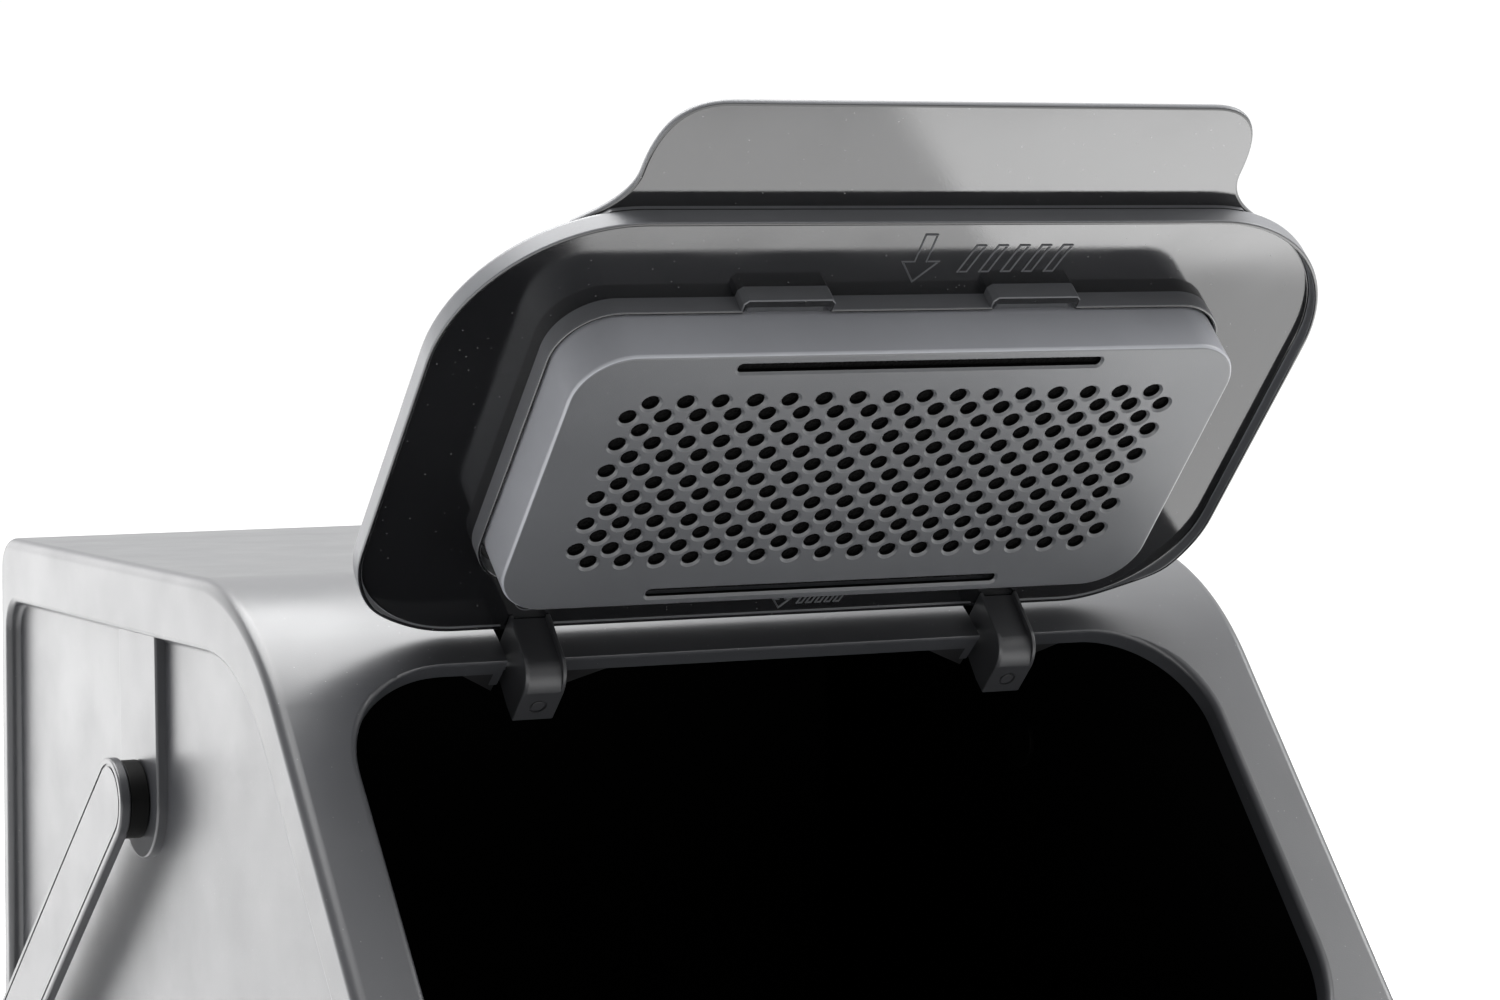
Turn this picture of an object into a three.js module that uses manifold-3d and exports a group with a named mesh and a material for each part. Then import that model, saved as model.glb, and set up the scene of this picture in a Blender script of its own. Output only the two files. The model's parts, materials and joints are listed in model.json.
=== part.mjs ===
// A hooded cat litter box: a tray, a hood clipped onto it, a hinged entrance lid that carries a carbon
// filter behind a vented cover, and a carry handle that swings over the hood.
// Millimetres. +Z is up, the entrance faces -Y, X runs across the box, and the origin is on the floor
// under the middle of the box. The lid stands open and the handle is folded down behind the hood.

import * as THREE from "three";
import { mergeVertices } from "three/addons/utils/BufferGeometryUtils.js";
import Module from "manifold-3d";

// ---- Driving dimensions ----

const WALL = 3; // moulded wall of the tray and the hood
const FIT_GAP = 0.3; // air between two pieces that touch
const RUNNING_GAP = 0.3; // radial air round a pin

// Hood: an outline seen from the side, carried across the width.
const HOOD_HALF_WIDTH = 191;
const HOOD_TOP = 400;
const HOOD_BASE = 125;
const FRONT_SLOPE = 50; // degrees from the floor
const BEND_CORNER_Y = -34.4; // where the front slope and the top would meet without their bend
const BEND_RADIUS = 106;
const REAR_TOP_Y = 268;
const REAR_DRAFT = 2; // degrees from upright
const REAR_EDGE_RADIUS = 14;
const SIDE_EDGE_RADIUS = 4.5;

// Sunk panel in each side of the hood, which leaves a proud band round the edges.
const PANEL_DEPTH = 5.5;
const BAND_TOP = 25.4;
const BAND_FRONT = 20;
const BAND_REAR = 11;
const BAND_BASE = 25;

// Entrance, in the front slope's own frame: s runs up the slope, measured from the bend corner.
const ENTRANCE = { halfWidth: 166.9, low: -234.8, high: -35.5, radius: 61, highRadius: 41 };
const RIM_DEPTH = 8.1; // the thickened rim round the entrance
const RIM_BORDER = 2.8;

// Lid hinge: below the skin of the bend, just above the entrance.
const HINGE_Y = -45.2;
const HINGE_Z = 370.8;
const LID_OPEN = 96.5; // degrees from shut
const HINGE_PIN_RADIUS = 2.5;
const ARM_INNER_X = 84.8;
const ARM_OUTER_X = 100.2;
const ARM_SIDE_GAP = 2.9;
const EAR_THICKNESS = 3.1;
const HUB_RADIUS = 7.5;
const NOTCH_TOP = 12.6; // notch in the hood above the hinge axis, along the slope
const GUSSET = { innerX: 63.5, outerX: 118, low: -35.4, high: -33, depth: 18.5 };

// Lid, in its own frame: x across, u from the hinge to the free edge, n out of its inner face.
const LID = {
  halfWidth: 165.2,
  low: 9.9,
  high: 203.8,
  radius: 46,
  highRadius: 60,
  thickness: 1.6,
  outer: -10.7,
  inner: -7.6,
};
const LID_RIM = { crest: -3.2, hingeCrest: -6.8, hingeEnd: 14 };
const TAB = { root: 196.5, rootX: 128, waistX: 110.2, waist: 217.4, topX: 88, top: 247.3, outer: -13.5 };
const FRAME_RING = { halfWidth: 125.3, low: 40.3, high: 167.3, radius: 21, thickness: 1.2, crest: -0.6 };
const CLIP = { inner: 29.4, outer: 62.8, mouth: 168.9, back: 171.8, foot: 166.4, crest: -0.8, wall: 1.1 };

// Vented cover over the filter, in the lid's frame. Two lugs on its top edge hold it under the clips.
const COVER = { halfWidth: 123.3, low: 45.9, high: 165.3, radius: 19.5, face: 17.4, base: -6.6, draft: 0.3, skin: 2 };
const LUG = { inner: 32.5, outer: 59.7, tip: 170.4, low: -4.6, high: -2.2 };
const COVER_SLOT = { halfWidth: 67.5, height: 3.8, above: 53.2, below: -53.8 };
const PAD = { inset: 4.4, thickness: 9 };

// Carry handle: two flat arms and a round crossbar behind the hood.
const PIVOT_Y = 90;
const PIVOT_Z = 313.8;
const BAIL_DROP = 38; // degrees below level, folded down
const BAIL_LENGTH = 246.7;
const BAIL_OUTER_X = 201.2;
const BAIL_ARM = { halfWidth: 15.6, thickness: 4 };
const GRIP_RADIUS = 7.5;
const BOSS_PAD = { halfWidth: 21.9, rise: 4 };
const HUB = { radius: 14.4, spigot: 9, lip: 10.6, lipThickness: 2.2 };

// Tray under the hood.
const TRAY = { halfWidth: 186, front: -264, back: 275, radius: 26, taper: 12, floorBottom: 3.3 };
const RIM = { halfWidth: 194, halfLength: 292, radius: 24, thickness: 3, lipThickness: 2.5, lipDrop: 11.7 };
const UPSTAND = { halfWidth: 187, front: -253.5, back: 270, radius: 14, thickness: 2.5, height: 7 };
const FOOT = { radius: 13, x: 150, y: 225 };

// Four latches that hook under the tray's rim.
const LATCH = { pinX: 195, pinZ: 141, width: 42, hub: 3.7, bottom: 106, plateInner: 195, hookTip: 188.8 };
const LATCH_PIN_RADIUS = 1.5;
const LATCH_EAR = { width: 4, outerX: 199, low: 135, high: 147 };
const LATCH_Y = { front: -130, rear: 150 };

const ROUND = 5; // segments in a rounded corner
const FULL = 20; // segments in a whole circle

// ---- Solids ----

const wasm = await Module();
wasm.setup();

const radians = THREE.MathUtils.degToRad;

function toSolid(geometry) {
  const bare = new THREE.BufferGeometry().setAttribute("position", geometry.getAttribute("position"));
  bare.setIndex(geometry.getIndex());
  const merged = mergeVertices(bare, 1e-4);
  return new wasm.Manifold(
    new wasm.Mesh({
      numProp: 3,
      vertProperties: new Float32Array(merged.attributes.position.array),
      triVerts: new Uint32Array(merged.index.array),
    }),
  );
}

function toGeometry(solid) {
  const mesh = solid.getMesh();
  const geometry = new THREE.BufferGeometry();
  geometry.setAttribute("position", new THREE.BufferAttribute(mesh.vertProperties, 3));
  geometry.setIndex(new THREE.BufferAttribute(mesh.triVerts, 1));
  const flat = geometry.toNonIndexed();
  flat.computeVertexNormals();
  return flat;
}

// A shape drawn in x, y and carried from low to high along z.
function prism(shape, low, high, segments = ROUND) {
  const options = { depth: high - low, bevelEnabled: false, curveSegments: segments };
  return new THREE.ExtrudeGeometry(shape, options).translate(0, 0, low);
}

// A shape drawn in the Y-Z plane and carried across from x = low to x = high.
function acrossX(shape, low, high, segments = ROUND) {
  return prism(shape, low, high, segments).rotateZ(Math.PI / 2).rotateY(Math.PI / 2);
}

// A shape drawn in the X-Z plane and carried along Y.
function alongY(shape, low, high, segments = ROUND) {
  return prism(shape, -high, -low, segments).rotateX(Math.PI / 2);
}

function rodX(radius, low, high, y, z) {
  const rod = new THREE.CylinderGeometry(radius, radius, high - low, FULL);
  return toSolid(rod.rotateZ(Math.PI / 2).translate((low + high) / 2, y, z));
}

function box(low, high) {
  const size = high.map((value, i) => value - low[i]);
  const middle = high.map((value, i) => (value + low[i]) / 2);
  return toSolid(new THREE.BoxGeometry(...size).translate(...middle));
}

function polygon(points) {
  return new THREE.Shape(points.map(([x, y]) => new THREE.Vector2(x, y)));
}

// A rectangle with rounded corners, whose two high corners may have a radius of their own.
function roundedRectangle(halfWidth, low, high, radius, highRadius = radius) {
  const shape = new THREE.Shape();
  shape.moveTo(halfWidth, low + radius);
  shape.lineTo(halfWidth, high - highRadius);
  shape.absarc(halfWidth - highRadius, high - highRadius, highRadius, 0, Math.PI / 2);
  shape.absarc(-halfWidth + highRadius, high - highRadius, highRadius, Math.PI / 2, Math.PI);
  shape.absarc(-halfWidth + radius, low + radius, radius, Math.PI, 1.5 * Math.PI);
  shape.absarc(halfWidth - radius, low + radius, radius, 1.5 * Math.PI, 2 * Math.PI);
  return shape;
}

function plate(r, low, high, grow = 0) {
  const highRadius = (r.highRadius ?? r.radius) + grow;
  const shape = roundedRectangle(r.halfWidth + grow, r.low - grow, r.high + grow, r.radius + grow, highRadius);
  return toSolid(prism(shape, low, high));
}

function ring(r, low, high) {
  return plate(r, low, high).subtract(plate(r, low - 1, high + 1, -r.thickness));
}

// A closed box with rounded upright corners whose walls lean in towards the bottom.
function taperedBlock(t, grow, low, high, leanPerMm, top) {
  const shape = roundedRectangle(t.halfWidth + grow, t.front - grow, t.back + grow, t.radius + grow);
  const geometry = prism(shape, low, high);
  const position = geometry.getAttribute("position");
  const middle = (t.front + t.back) / 2;
  for (let i = 0; i < position.count; i++) {
    const lean = (top - position.getZ(i)) * leanPerMm;
    const x = position.getX(i);
    const y = position.getY(i) - middle;
    position.setX(i, x * (1 - lean / t.halfWidth));
    position.setY(i, middle + y * (1 - lean / (t.back - middle)));
  }
  return toSolid(geometry);
}

// ---- Frames ----

// The front slope's frame: x across, then up the slope, then outwards, from the bend corner.
function onSlope(solid) {
  return solid.rotate([FRONT_SLOPE, 0, 0]).translate([0, BEND_CORNER_Y, HOOD_TOP]);
}

// The hinge axis as a place on the slope: [up the slope, outwards].
function hingeOnSlope() {
  const y = HINGE_Y - BEND_CORNER_Y;
  const z = HINGE_Z - HOOD_TOP;
  const c = Math.cos(radians(FRONT_SLOPE));
  const s = Math.sin(radians(FRONT_SLOPE));
  return [y * c + z * s, z * c - y * s];
}

// ---- Hood ----

function hoodOutline(inset, floor) {
  const slope = radians(FRONT_SLOPE);
  const draft = radians(REAR_DRAFT);
  const top = HOOD_TOP - inset;
  const cornerY = BEND_CORNER_Y + inset * Math.tan(slope / 2);
  const rearY = REAR_TOP_Y - inset * Math.tan((Math.PI / 2 - draft) / 2);
  const bend = BEND_RADIUS - inset;
  const rear = REAR_EDGE_RADIUS - inset;
  const bendTangent = bend * Math.tan(slope / 2);
  const rearTangent = rear * Math.tan((Math.PI / 2 - draft) / 2);
  const shape = new THREE.Shape();
  shape.moveTo(cornerY - (top - floor) / Math.tan(slope), floor);
  shape.lineTo(rearY + (top - floor) * Math.tan(draft), floor);
  shape.lineTo(rearY + rearTangent * Math.sin(draft), top - rearTangent * Math.cos(draft));
  shape.absarc(rearY - rearTangent, top - rear, rear, draft, Math.PI / 2);
  shape.absarc(cornerY + bendTangent, top - bend, bend, Math.PI / 2, Math.PI / 2 + slope);
  return shape;
}

// The hood's block without its hollow; its long edges are rounded.
function hoodBlock(inset, halfWidth, edge) {
  const floor = HOOD_BASE - 20;
  const options = {
    depth: 2 * (halfWidth - edge),
    bevelSize: edge,
    bevelThickness: edge,
    bevelOffset: -edge,
    bevelSegments: 2,
    curveSegments: 8,
  };
  const geometry = new THREE.ExtrudeGeometry(hoodOutline(inset, floor), options);
  geometry.translate(0, 0, edge - halfWidth).rotateZ(Math.PI / 2).rotateY(Math.PI / 2);
  return toSolid(geometry).subtract(box([-300, -400, 0], [300, 400, HOOD_BASE]));
}

// The sunk side panel's outline, grown outwards by a margin for the inside of the wall.
function panelOutline(grow) {
  const slope = radians(FRONT_SLOPE);
  const top = HOOD_TOP - BAND_TOP + grow;
  const base = HOOD_BASE + BAND_BASE - grow;
  const front = BEND_CORNER_Y + (BAND_FRONT - grow) / Math.sin(slope);
  const frontTop = front - (HOOD_TOP - top) / Math.tan(slope);
  const rear = REAR_TOP_Y - BAND_REAR + grow;
  const lean = Math.tan(radians(REAR_DRAFT));
  const bend = BEND_RADIUS - BAND_TOP + grow;
  const tangent = bend * Math.tan(slope / 2);
  const shape = new THREE.Shape();
  shape.moveTo(front - (HOOD_TOP - base) / Math.tan(slope), base);
  shape.lineTo(rear + (HOOD_TOP - base) * lean, base);
  shape.lineTo(rear + (HOOD_TOP - top) * lean, top);
  shape.absarc(frontTop + tangent, top - bend, bend, Math.PI / 2, Math.PI / 2 + slope);
  return shape;
}

function sidePanels(grow, face) {
  const outline = panelOutline(grow);
  const right = toSolid(acrossX(outline, face, HOOD_HALF_WIDTH + 1, 6));
  return right.add(toSolid(acrossX(outline, -HOOD_HALF_WIDTH - 1, -face, 6)));
}

// The raised pad that carries the handle's pivot, on the side sign * X.
function bossPad(sign) {
  const wall = HOOD_HALF_WIDTH - PANEL_DEPTH;
  const shape = new THREE.Shape();
  shape.moveTo(PIVOT_Y + BOSS_PAD.halfWidth, HOOD_TOP - BAND_TOP + 1);
  shape.lineTo(PIVOT_Y - BOSS_PAD.halfWidth, HOOD_TOP - BAND_TOP + 1);
  shape.lineTo(PIVOT_Y - BOSS_PAD.halfWidth, PIVOT_Z);
  shape.absarc(PIVOT_Y, PIVOT_Z, BOSS_PAD.halfWidth, Math.PI, 2 * Math.PI);
  const ends = [sign * (wall - 1), sign * (wall + BOSS_PAD.rise)].sort((a, b) => a - b);
  return toSolid(acrossX(shape, ends[0], ends[1]));
}

// One hinge ear in the slope's frame: a plate that hangs from the hood's skin round the hinge axis.
function hingeEar(low, high) {
  const [s, n] = hingeOnSlope();
  const shape = new THREE.Shape();
  shape.moveTo(s + HUB_RADIUS, n);
  shape.lineTo(s + 13, n + 3.5);
  shape.lineTo(s, n + 7.5);
  shape.lineTo(s - 7, n + 8);
  shape.lineTo(s - HUB_RADIUS, n);
  shape.absarc(s, n, HUB_RADIUS, Math.PI, 2 * Math.PI);
  return toSolid(acrossX(shape, low, high));
}

// The three-cornered web that stiffens an ear, along the entrance's top edge.
function gusset(earX, tipX) {
  const shape = polygon([
    [earX, -4],
    [tipX, -4],
    [tipX, -RIM_DEPTH],
    [earX, -GUSSET.depth],
  ]);
  return onSlope(toSolid(alongY(shape, GUSSET.low, GUSSET.high)));
}

function entranceRim() {
  const collar = onSlope(plate(ENTRANCE, -RIM_DEPTH, 1, RIM_BORDER));
  return collar.intersect(hoodBlock(0, HOOD_HALF_WIDTH, SIDE_EDGE_RADIUS));
}

function hingeNotch(sign) {
  const [s, n] = hingeOnSlope();
  const ends = [sign * (ARM_INNER_X - ARM_SIDE_GAP), sign * (ARM_OUTER_X + ARM_SIDE_GAP)];
  const [low, high] = ends.sort((a, b) => a - b);
  return onSlope(box([low, ENTRANCE.high - 10, n - 12], [high, s + NOTCH_TOP, 12]));
}

function hingeEars(sign) {
  const inner = ARM_INNER_X - ARM_SIDE_GAP;
  const outer = ARM_OUTER_X + ARM_SIDE_GAP;
  const plates = [
    [inner - EAR_THICKNESS, inner],
    [outer, outer + EAR_THICKNESS],
  ];
  const ears = plates.map(([a, b]) => {
    const [low, high] = [sign * a, sign * b].sort((p, q) => p - q);
    return onSlope(hingeEar(low, high));
  });
  const webs = [gusset(sign * (inner - 1), sign * GUSSET.innerX), gusset(sign * (outer + 1), sign * GUSSET.outerX)];
  return ears.concat(webs);
}

function latchEars(sign, y) {
  const reach = LATCH.width / 2 + FIT_GAP;
  return [-1, 1].map((end) => {
    const ys = [y + end * reach, y + end * (reach + LATCH_EAR.width)].sort((a, b) => a - b);
    const xs = [sign * (HOOD_HALF_WIDTH - 1), sign * LATCH_EAR.outerX].sort((a, b) => a - b);
    return box([xs[0], ys[0], LATCH_EAR.low], [xs[1], ys[1], LATCH_EAR.high]);
  });
}

function rodY(radius, low, high, x, z) {
  return toSolid(new THREE.CylinderGeometry(radius, radius, high - low, 12).translate(x, (low + high) / 2, z));
}

function hood() {
  let body = hoodBlock(0, HOOD_HALF_WIDTH, SIDE_EDGE_RADIUS).subtract(
    sidePanels(0, HOOD_HALF_WIDTH - PANEL_DEPTH),
  );
  const hollow = hoodBlock(WALL, HOOD_HALF_WIDTH - WALL, SIDE_EDGE_RADIUS - WALL).subtract(
    sidePanels(WALL, HOOD_HALF_WIDTH - PANEL_DEPTH - WALL),
  );
  body = body.subtract(hollow);
  body = body.subtract(box([-170, -240, 100], [170, 255, HOOD_BASE + 1]));
  for (const sign of [-1, 1]) {
    body = body.add(bossPad(sign));
    for (const y of Object.values(LATCH_Y)) {
      for (const ear of latchEars(sign, y)) {
        body = body.add(ear);
      }
      body = body.subtract(
        rodY(LATCH_PIN_RADIUS + RUNNING_GAP, y - LATCH.width, y + LATCH.width, sign * LATCH.pinX, LATCH.pinZ),
      );
    }
  }
  body = body.add(entranceRim());
  for (const sign of [-1, 1]) {
    for (const ear of hingeEars(sign)) {
      body = body.add(ear);
    }
  }
  body = body.subtract(onSlope(plate(ENTRANCE, -30, 30)));
  for (const sign of [-1, 1]) {
    body = body.subtract(hingeNotch(sign));
    const ends = [sign * (ARM_INNER_X - 12), sign * (ARM_OUTER_X + 12)].sort((a, b) => a - b);
    body = body.subtract(rodX(HINGE_PIN_RADIUS + RUNNING_GAP, ends[0], ends[1], HINGE_Y, HINGE_Z));
    const bore = [sign * (HOOD_HALF_WIDTH - 20), sign * (HOOD_HALF_WIDTH + 5)].sort((a, b) => a - b);
    body = body.subtract(rodX(HUB.spigot + RUNNING_GAP, bore[0], bore[1], PIVOT_Y, PIVOT_Z));
  }
  return body;
}

// ---- Lid and what it carries, all in the lid's frame: x, u, n ----

// The finger tab past the lid's free edge. It lies over the hood's front when the lid is shut.
function tab() {
  const t = TAB;
  const shape = new THREE.Shape();
  shape.moveTo(t.rootX, t.root);
  shape.bezierCurveTo(t.rootX - 10, t.root + 6, t.waistX + 0.5, t.waist - 9, t.waistX, t.waist);
  shape.bezierCurveTo(t.waistX, t.waist + 19, t.topX + 16, t.top, t.topX, t.top);
  shape.lineTo(-t.topX, t.top);
  shape.bezierCurveTo(-t.topX - 16, t.top, -t.waistX, t.waist + 19, -t.waistX, t.waist);
  shape.bezierCurveTo(-t.waistX - 0.5, t.waist - 9, -t.rootX + 10, t.root + 6, -t.rootX, t.root);
  const blade = toSolid(prism(shape, t.outer, LID.outer - FIT_GAP, 6));
  const joint = toSolid(prism(shape, t.outer, LID.outer + 1, 6));
  return blade.add(joint.intersect(plate(LID, t.outer - 1, 0, 0.5)));
}

// A pocket that holds one of the cover's lugs: a back wall, two side walls and a front plate.
function clip(sign) {
  const c = CLIP;
  const wall = (x0, x1, low, under) => {
    const [a, b] = [sign * x0, sign * x1].sort((p, q) => p - q);
    return box([a, low, under], [b, c.back, c.crest]);
  };
  return wall(c.inner, c.outer, c.back - c.wall, LID.inner - 1)
    .add(wall(c.inner, c.outer, c.mouth, c.crest - c.wall))
    .add(wall(c.inner, c.inner + c.wall, c.foot, LID.inner - 1))
    .add(wall(c.outer - c.wall, c.outer, c.foot, LID.inner - 1));
}

// The raised ring round the cover, which is open inside each clip.
function frameRing() {
  let body = ring(FRAME_RING, LID.inner - 1, FRAME_RING.crest);
  for (const sign of [-1, 1]) {
    const [low, high] = [sign * (CLIP.inner + CLIP.wall), sign * (CLIP.outer - CLIP.wall)].sort((a, b) => a - b);
    body = body.subtract(box([low, FRAME_RING.high - 3, LID.inner - 2], [high, FRAME_RING.high + 1, 5]));
  }
  return body;
}

// The wall round the lid's edge. It is low beside the hinge, where it turns past the hood.
function lidRim() {
  const wall = ring(LID, LID.inner - 1, LID_RIM.crest);
  return wall.subtract(box([-200, LID.low - 1, LID_RIM.hingeCrest], [200, LID_RIM.hingeEnd, 0]));
}

function lidPanel() {
  let body = plate(LID, LID.outer, LID.inner);
  body = body.add(lidRim());
  body = body.add(frameRing());
  body = body.add(tab());
  for (const sign of [-1, 1]) {
    body = body.add(clip(sign));
    const root = [sign * (ARM_INNER_X - 2), sign * (ARM_OUTER_X + 2)].sort((a, b) => a - b);
    body = body.subtract(box([root[0], LID.low - 1, LID.inner], [root[1], LID_RIM.hingeEnd, 10]));
  }
  return body;
}

// One swan-neck arm from the lid's inner face round to the hinge pin.
function hingeArm(sign) {
  const foot = LID.inner + FIT_GAP;
  const shape = new THREE.Shape();
  shape.moveTo(16.2, foot);
  shape.lineTo(14.7, 12.1);
  shape.quadraticCurveTo(13, 19.1, 5.8, 19.1);
  shape.lineTo(-9.3, 18.5);
  shape.lineTo(-9.3, 12);
  shape.lineTo(-HUB_RADIUS, 1);
  shape.absarc(0, 0, HUB_RADIUS, Math.PI - 0.13, Math.PI * 1.45);
  shape.lineTo(4, foot);
  const [low, high] = [sign * ARM_INNER_X, sign * ARM_OUTER_X].sort((a, b) => a - b);
  const arm = toSolid(acrossX(shape, low, high));
  return arm.subtract(rodX(HINGE_PIN_RADIUS + RUNNING_GAP, low - 1, high + 1, 0, 0));
}

function coverShell(grow, low, high) {
  const t = {
    halfWidth: COVER.halfWidth,
    front: COVER.low,
    back: COVER.high,
    radius: COVER.radius,
  };
  const lean = -COVER.draft / (COVER.face - COVER.base);
  return taperedBlock(t, grow, low, high, lean, COVER.face);
}

function filterCover() {
  const c = COVER;
  let body = coverShell(0, c.base, c.face);
  body = body.subtract(coverShell(-c.skin, c.base - 1, c.face - c.skin));
  for (const sign of [-1, 1]) {
    const [low, high] = [sign * LUG.inner, sign * LUG.outer].sort((a, b) => a - b);
    body = body.add(box([low, c.high - c.skin + 0.5, LUG.low], [high, LUG.tip, LUG.high]));
  }
  const middle = (c.low + c.high) / 2;
  for (const height of [COVER_SLOT.above, COVER_SLOT.below]) {
    const u = middle + height;
    const half = COVER_SLOT.height / 2;
    body = body.subtract(box([-COVER_SLOT.halfWidth, u - half, c.face - 9], [COVER_SLOT.halfWidth, u + half, 30]));
  }
  return body;
}

function filterPad() {
  const top = COVER.face - COVER.skin - FIT_GAP;
  return coverShell(-PAD.inset, top - PAD.thickness, top);
}

// ---- Carry handle, in its own frame: x across, y along the arms from the pivot, z out of their plane ----

function handle() {
  const inner = BAIL_OUTER_X - BAIL_ARM.thickness;
  const half = BAIL_ARM.halfWidth;
  const arm = new THREE.Shape();
  arm.absarc(0, 0, half, Math.PI / 2, 1.5 * Math.PI);
  arm.lineTo(BAIL_LENGTH - 30, -half);
  arm.quadraticCurveTo(BAIL_LENGTH - 10, -half, BAIL_LENGTH, -GRIP_RADIUS);
  arm.absarc(BAIL_LENGTH, 0, GRIP_RADIUS, -Math.PI / 2, Math.PI / 2);
  arm.quadraticCurveTo(BAIL_LENGTH - 10, half, BAIL_LENGTH - 30, half);
  let body = rodX(GRIP_RADIUS, 1 - BAIL_OUTER_X, BAIL_OUTER_X - 1, BAIL_LENGTH, 0);
  body = body.add(toSolid(acrossX(arm, inner, BAIL_OUTER_X)));
  return body.add(toSolid(acrossX(arm, -BAIL_OUTER_X, -inner)));
}

// A pivot hub: a disc between the arm and the hood, and a spigot that snaps through the hood's wall.
function handleHub(sign) {
  const padFace = HOOD_HALF_WIDTH - PANEL_DEPTH + BOSS_PAD.rise;
  const inside = HOOD_HALF_WIDTH - PANEL_DEPTH - WALL;
  const armFace = BAIL_OUTER_X - BAIL_ARM.thickness;
  const stations = [
    [HUB.radius, padFace + FIT_GAP, armFace - FIT_GAP],
    [HUB.spigot, inside - 1.5, padFace + FIT_GAP + 1],
    [HUB.lip, inside - 0.5 - HUB.lipThickness, inside - 0.5],
  ];
  const pieces = stations.map(([radius, a, b]) => {
    const [low, high] = [sign * a, sign * b].sort((p, q) => p - q);
    return rodX(radius, low, high, 0, 0);
  });
  return pieces.reduce((whole, piece) => whole.add(piece));
}

// ---- Tray ----

function tray() {
  const rimTop = HOOD_BASE - FIT_GAP;
  const lean = TRAY.taper / (rimTop - TRAY.floorBottom);
  let body = taperedBlock(TRAY, 0, TRAY.floorBottom, rimTop - 1, lean, rimTop);
  const rim = { halfWidth: RIM.halfWidth, low: -RIM.halfLength, high: RIM.halfLength, radius: RIM.radius };
  let flange = plate(rim, rimTop - RIM.lipDrop, rimTop);
  flange = flange.subtract(plate(rim, rimTop - RIM.lipDrop - 1, rimTop - RIM.thickness, -RIM.lipThickness));
  const stand = { halfWidth: UPSTAND.halfWidth, low: UPSTAND.front, high: UPSTAND.back, radius: UPSTAND.radius };
  body = body.add(flange).add(plate(stand, rimTop - 1, rimTop + UPSTAND.height));
  const hollow = taperedBlock(TRAY, -WALL, TRAY.floorBottom + WALL, rimTop + 20, lean, rimTop);
  body = body.subtract(hollow);
  return body.subtract(plate(stand, rimTop, rimTop + 20, -UPSTAND.thickness));
}

function foot(x, y) {
  const height = TRAY.floorBottom - FIT_GAP;
  const pad = new THREE.CylinderGeometry(FOOT.radius, FOOT.radius - 1, height, FULL);
  return toSolid(pad.rotateX(Math.PI / 2).translate(x, y, height / 2));
}

// ---- Latches ----

function latch(sign, y) {
  const l = LATCH;
  const outer = l.pinX + l.hub;
  const rimUnder = HOOD_BASE - FIT_GAP - RIM.lipDrop - 0.4;
  const shape = new THREE.Shape();
  shape.moveTo(outer, l.pinZ);
  shape.absarc(l.pinX, l.pinZ, l.hub, 0, 1.5 * Math.PI);
  shape.lineTo(l.plateInner, rimUnder);
  shape.lineTo(l.hookTip, rimUnder);
  shape.lineTo(l.hookTip + 1.5, rimUnder - 3.4);
  shape.lineTo(l.plateInner, l.bottom - 2);
  shape.lineTo(outer + 1.6, l.bottom - 4);
  shape.lineTo(outer + 1.6, l.bottom - 1);
  shape.lineTo(outer, l.bottom + 4);
  const right = alongY(shape, y - l.width / 2, y + l.width / 2, 4);
  const solid = sign > 0 ? toSolid(right) : toSolid(right).mirror([1, 0, 0]);
  const hole = rodY(LATCH_PIN_RADIUS + RUNNING_GAP, y - l.width, y + l.width, sign * l.pinX, l.pinZ);
  return solid.subtract(hole);
}

function latchPin(sign, y) {
  const reach = LATCH.width / 2 + LATCH_EAR.width;
  return rodY(LATCH_PIN_RADIUS, y - reach, y + reach, sign * LATCH.pinX, LATCH.pinZ);
}

function hingePin(sign) {
  const reach = ARM_SIDE_GAP + EAR_THICKNESS + 1;
  const [low, high] = [sign * (ARM_INNER_X - reach), sign * (ARM_OUTER_X + reach)].sort((a, b) => a - b);
  return rodX(HINGE_PIN_RADIUS, low, high, HINGE_Y, HINGE_Z);
}

// ---- Materials ----

const plastic = (color) => new THREE.MeshStandardMaterial({ color, roughness: 0.42, metalness: 0 });
const MATERIALS = {
  hood: plastic(0x3a3b3e),
  tray: plastic(0x333437),
  lid: plastic(0x343538),
  cover: plastic(0x303134),
  handle: plastic(0x3a3b3e),
  hub: plastic(0x17181a),
  latch: plastic(0x2a2b2e),
  filter: new THREE.MeshStandardMaterial({ color: 0x121212, roughness: 0.95, metalness: 0 }),
  foot: new THREE.MeshStandardMaterial({ color: 0x1b1b1b, roughness: 0.8, metalness: 0 }),
  pin: new THREE.MeshStandardMaterial({ color: 0xb8bbc0, roughness: 0.3, metalness: 1 }),
};

// ---- Assembly ----

const litterBox = new THREE.Group();

function place(group, name, solid, material) {
  const mesh = new THREE.Mesh(toGeometry(solid), material);
  mesh.name = name;
  group.add(mesh);
}

// The lid's frame: u from the hinge to the free edge, n out of the inner face.
const lidGroup = new THREE.Group();
lidGroup.position.set(0, HINGE_Y, HINGE_Z);
lidGroup.rotation.x = radians(FRONT_SLOPE + 180 - LID_OPEN);
litterBox.add(lidGroup);

const handleGroup = new THREE.Group();
handleGroup.position.set(0, PIVOT_Y, PIVOT_Z);
handleGroup.rotation.x = radians(-BAIL_DROP);
litterBox.add(handleGroup);

const SIDES = [
  ["left", -1],
  ["right", 1],
];

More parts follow.
